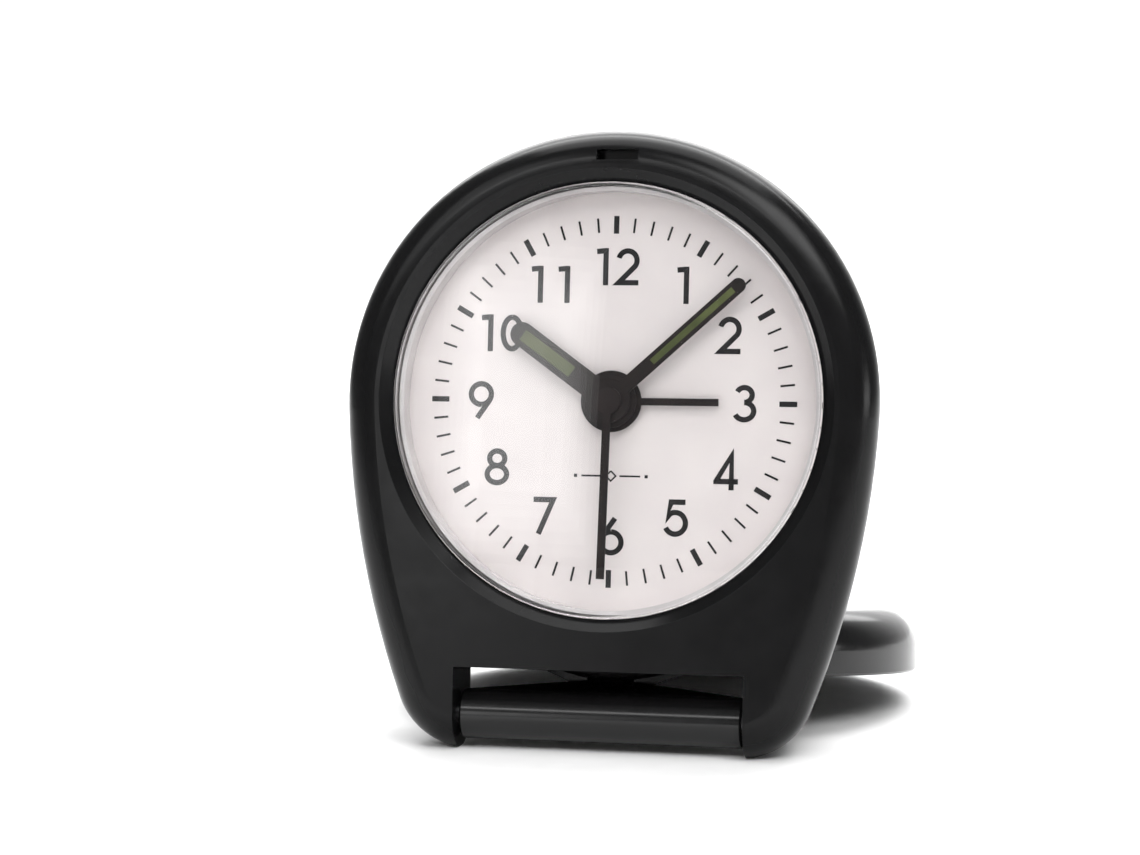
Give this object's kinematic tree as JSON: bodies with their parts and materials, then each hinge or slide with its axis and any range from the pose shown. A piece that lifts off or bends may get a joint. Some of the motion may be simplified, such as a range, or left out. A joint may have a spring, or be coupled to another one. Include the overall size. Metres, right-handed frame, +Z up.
{
  "type": "travel alarm clock",
  "caption": "Folding travel alarm clock: round-topped black case with analogue dial, hinge ears and a domed cover folded back behind it as a stand.",
  "frame": {"origin": "middle of the underside of the bounding box, on the surface the clock stands on, cover folded back", "axes": "+Z up, dial faces -Y, +X to the right of the dial as it is read"},
  "size_m": [0.0686, 0.0786, 0.0764],
  "materials": {
    "case_black": "glossy moulded ABS, faint texture",
    "cover_black": "glossy moulded ABS",
    "rear_black": "fine spark-eroded grain",
    "crystal_clear": "clear polished acrylic",
    "dial_white": "printed matt card white",
    "hand_dark": "satin dark brown paint",
    "luminous_green": "chalky luminous paint",
    "movement_plastic": "moulded acetal",
    "gear_plastic": "natural acetal",
    "brass": "turned brass",
    "contact_steel": "nickel-plated spring steel",
    "copper": "enamelled copper wire",
    "lamination_steel": "stamped silicon steel",
    "magnet_grey": "sintered magnet",
    "board_green": "solder-masked laminate",
    "chip_black": "epoxy blob",
    "battery_wrap": "printed sleeve",
    "button_grey": "moulded grey plastic",
    "knob_black": "fluted moulded plastic",
    "screw_steel": "zinc-plated steel"
  },
  "bodies": {
    "case": {"front_case": "case_black", "rear_case": "rear_black", "crystal": "crystal_clear", "dial": "dial_white", "movement_plate": "movement_plastic", "movement_back_plate": "movement_plastic", "movement_screws": "screw_steel", "case_screws": "screw_steel", "stator": "lamination_steel", "coil_core": "lamination_steel", "coil_bobbin": "movement_plastic", "coil_winding": "copper", "circuit_board": "board_green", "control_chip": "chip_black", "quartz_can": "contact_steel", "buzzer": "brass", "snooze_contact": "contact_steel", "alarm_contact": "contact_steel", "battery": "battery_wrap", "battery_plate": "contact_steel", "battery_spring": "contact_steel"},
    "lid": {"cover": "cover_black", "hinge_pins": "screw_steel"},
    "seconds": {"second_hand": "hand_dark", "second_wheel": "gear_plastic"},
    "minutes": {"minute_hand": "hand_dark", "minute_hand_inlay": "luminous_green", "cannon_pinion": "gear_plastic"},
    "hours": {"hour_hand": "hand_dark", "hour_hand_inlay": "luminous_green", "hour_wheel": "gear_plastic"},
    "alarm": {"alarm_hand": "hand_dark", "alarm_wheel": "gear_plastic"},
    "motion_idler": {"minute_wheel": "gear_plastic"},
    "time_knob": {"time_set_knob": "knob_black", "time_set_arbor": "gear_plastic"},
    "alarm_knob": {"alarm_set_knob": "knob_black", "alarm_set_arbor": "gear_plastic"},
    "centre": {"centre_wheel": "brass"},
    "third": {"third_wheel": "gear_plastic"},
    "intermediate": {"intermediate_wheel": "gear_plastic"},
    "rotor": {"rotor_magnet": "magnet_grey", "rotor_pinion": "gear_plastic"},
    "snooze": {"snooze_button": "button_grey"},
    "switch": {"alarm_switch": "button_grey"},
    "door": {"battery_door": "rear_black"}
  },
  "joints": [
    {"name": "cover_hinge", "type": "hinge", "parent": "case", "child": "lid", "pos_m": [0, -0.03472, 0.00409], "axis": [1, 0, 0], "range_deg": [-270, 0]},
    {"name": "minute_hand_turn", "type": "hinge", "parent": "case", "child": "minutes", "pos_m": [0, -0.02686, 0.04265], "axis": [0, 0.9935, -0.1142], "continuous": true},
    {"name": "second_hand_turn", "type": "hinge", "parent": "case", "child": "seconds", "pos_m": [0, -0.02686, 0.04265], "axis": [0, 0.9935, -0.1142], "continuous": true},
    {"name": "alarm_hand_turn", "type": "hinge", "parent": "case", "child": "alarm", "pos_m": [0, -0.02686, 0.04265], "axis": [0, 0.9935, -0.1142], "continuous": true},
    {"name": "hour_hand_turn", "type": "hinge", "parent": "case", "child": "hours", "pos_m": [0, -0.02686, 0.04265], "axis": [0, 0.9935, -0.1142], "continuous": true},
    {"name": "minute_wheel_turn", "type": "hinge", "parent": "case", "child": "motion_idler", "pos_m": [0.00564, -0.0271, 0.04061], "axis": [0, 0.9935, -0.1142], "continuous": true},
    {"name": "time_knob_turn", "type": "hinge", "parent": "case", "child": "time_knob", "pos_m": [0.01125, -0.02734, 0.03849], "axis": [0, 0.9935, -0.1142], "continuous": true},
    {"name": "alarm_knob_turn", "type": "hinge", "parent": "case", "child": "alarm_knob", "pos_m": [-0.00897, -0.02734, 0.03849], "axis": [0, 0.9935, -0.1142], "continuous": true},
    {"name": "centre_wheel_turn", "type": "hinge", "parent": "case", "child": "centre", "pos_m": [0, -0.02686, 0.04265], "axis": [0, 0.9935, -0.1142], "continuous": true},
    {"name": "third_wheel_turn", "type": "hinge", "parent": "case", "child": "third", "pos_m": [0, -0.02584, 0.05159], "axis": [0, 0.9935, -0.1142], "continuous": true},
    {"name": "intermediate_wheel_turn", "type": "hinge", "parent": "case", "child": "intermediate", "pos_m": [-0.0065, -0.02643, 0.04637], "axis": [0, 0.9935, -0.1142], "continuous": true},
    {"name": "rotor_turn", "type": "hinge", "parent": "case", "child": "rotor", "pos_m": [-0.01, -0.02574, 0.05239], "axis": [0, 0.9935, -0.1142], "continuous": true},
    {"name": "snooze_press", "type": "slide", "parent": "case", "child": "snooze", "axis": [0, -0.1142, -0.9935], "range_m": [0, 0.001], "stiffness_N_per_m": 300, "springref_m": -0.0008},
    {"name": "alarm_switch_slide", "type": "slide", "parent": "case", "child": "switch", "axis": [1, 0, 0], "range_m": [0, 0.004]},
    {"name": "battery_door_pull", "type": "slide", "parent": "case", "child": "door", "axis": [0, 0.9935, -0.1142], "range_m": [0, 0.01]}
  ],
  "couplings": [
    {"joint": "minute_wheel_turn", "follows": "minute_hand_turn", "ratio": -0.33333},
    {"joint": "hour_hand_turn", "follows": "minute_hand_turn", "ratio": 0.083333},
    {"joint": "time_knob_turn", "follows": "minute_hand_turn", "ratio": 1},
    {"joint": "alarm_knob_turn", "follows": "alarm_hand_turn", "ratio": -0.94118},
    {"joint": "third_wheel_turn", "follows": "second_hand_turn", "ratio": -0.13333},
    {"joint": "centre_wheel_turn", "follows": "second_hand_turn", "ratio": 0.016667},
    {"joint": "intermediate_wheel_turn", "follows": "second_hand_turn", "ratio": -5},
    {"joint": "rotor_turn", "follows": "second_hand_turn", "ratio": 30}
  ]
}
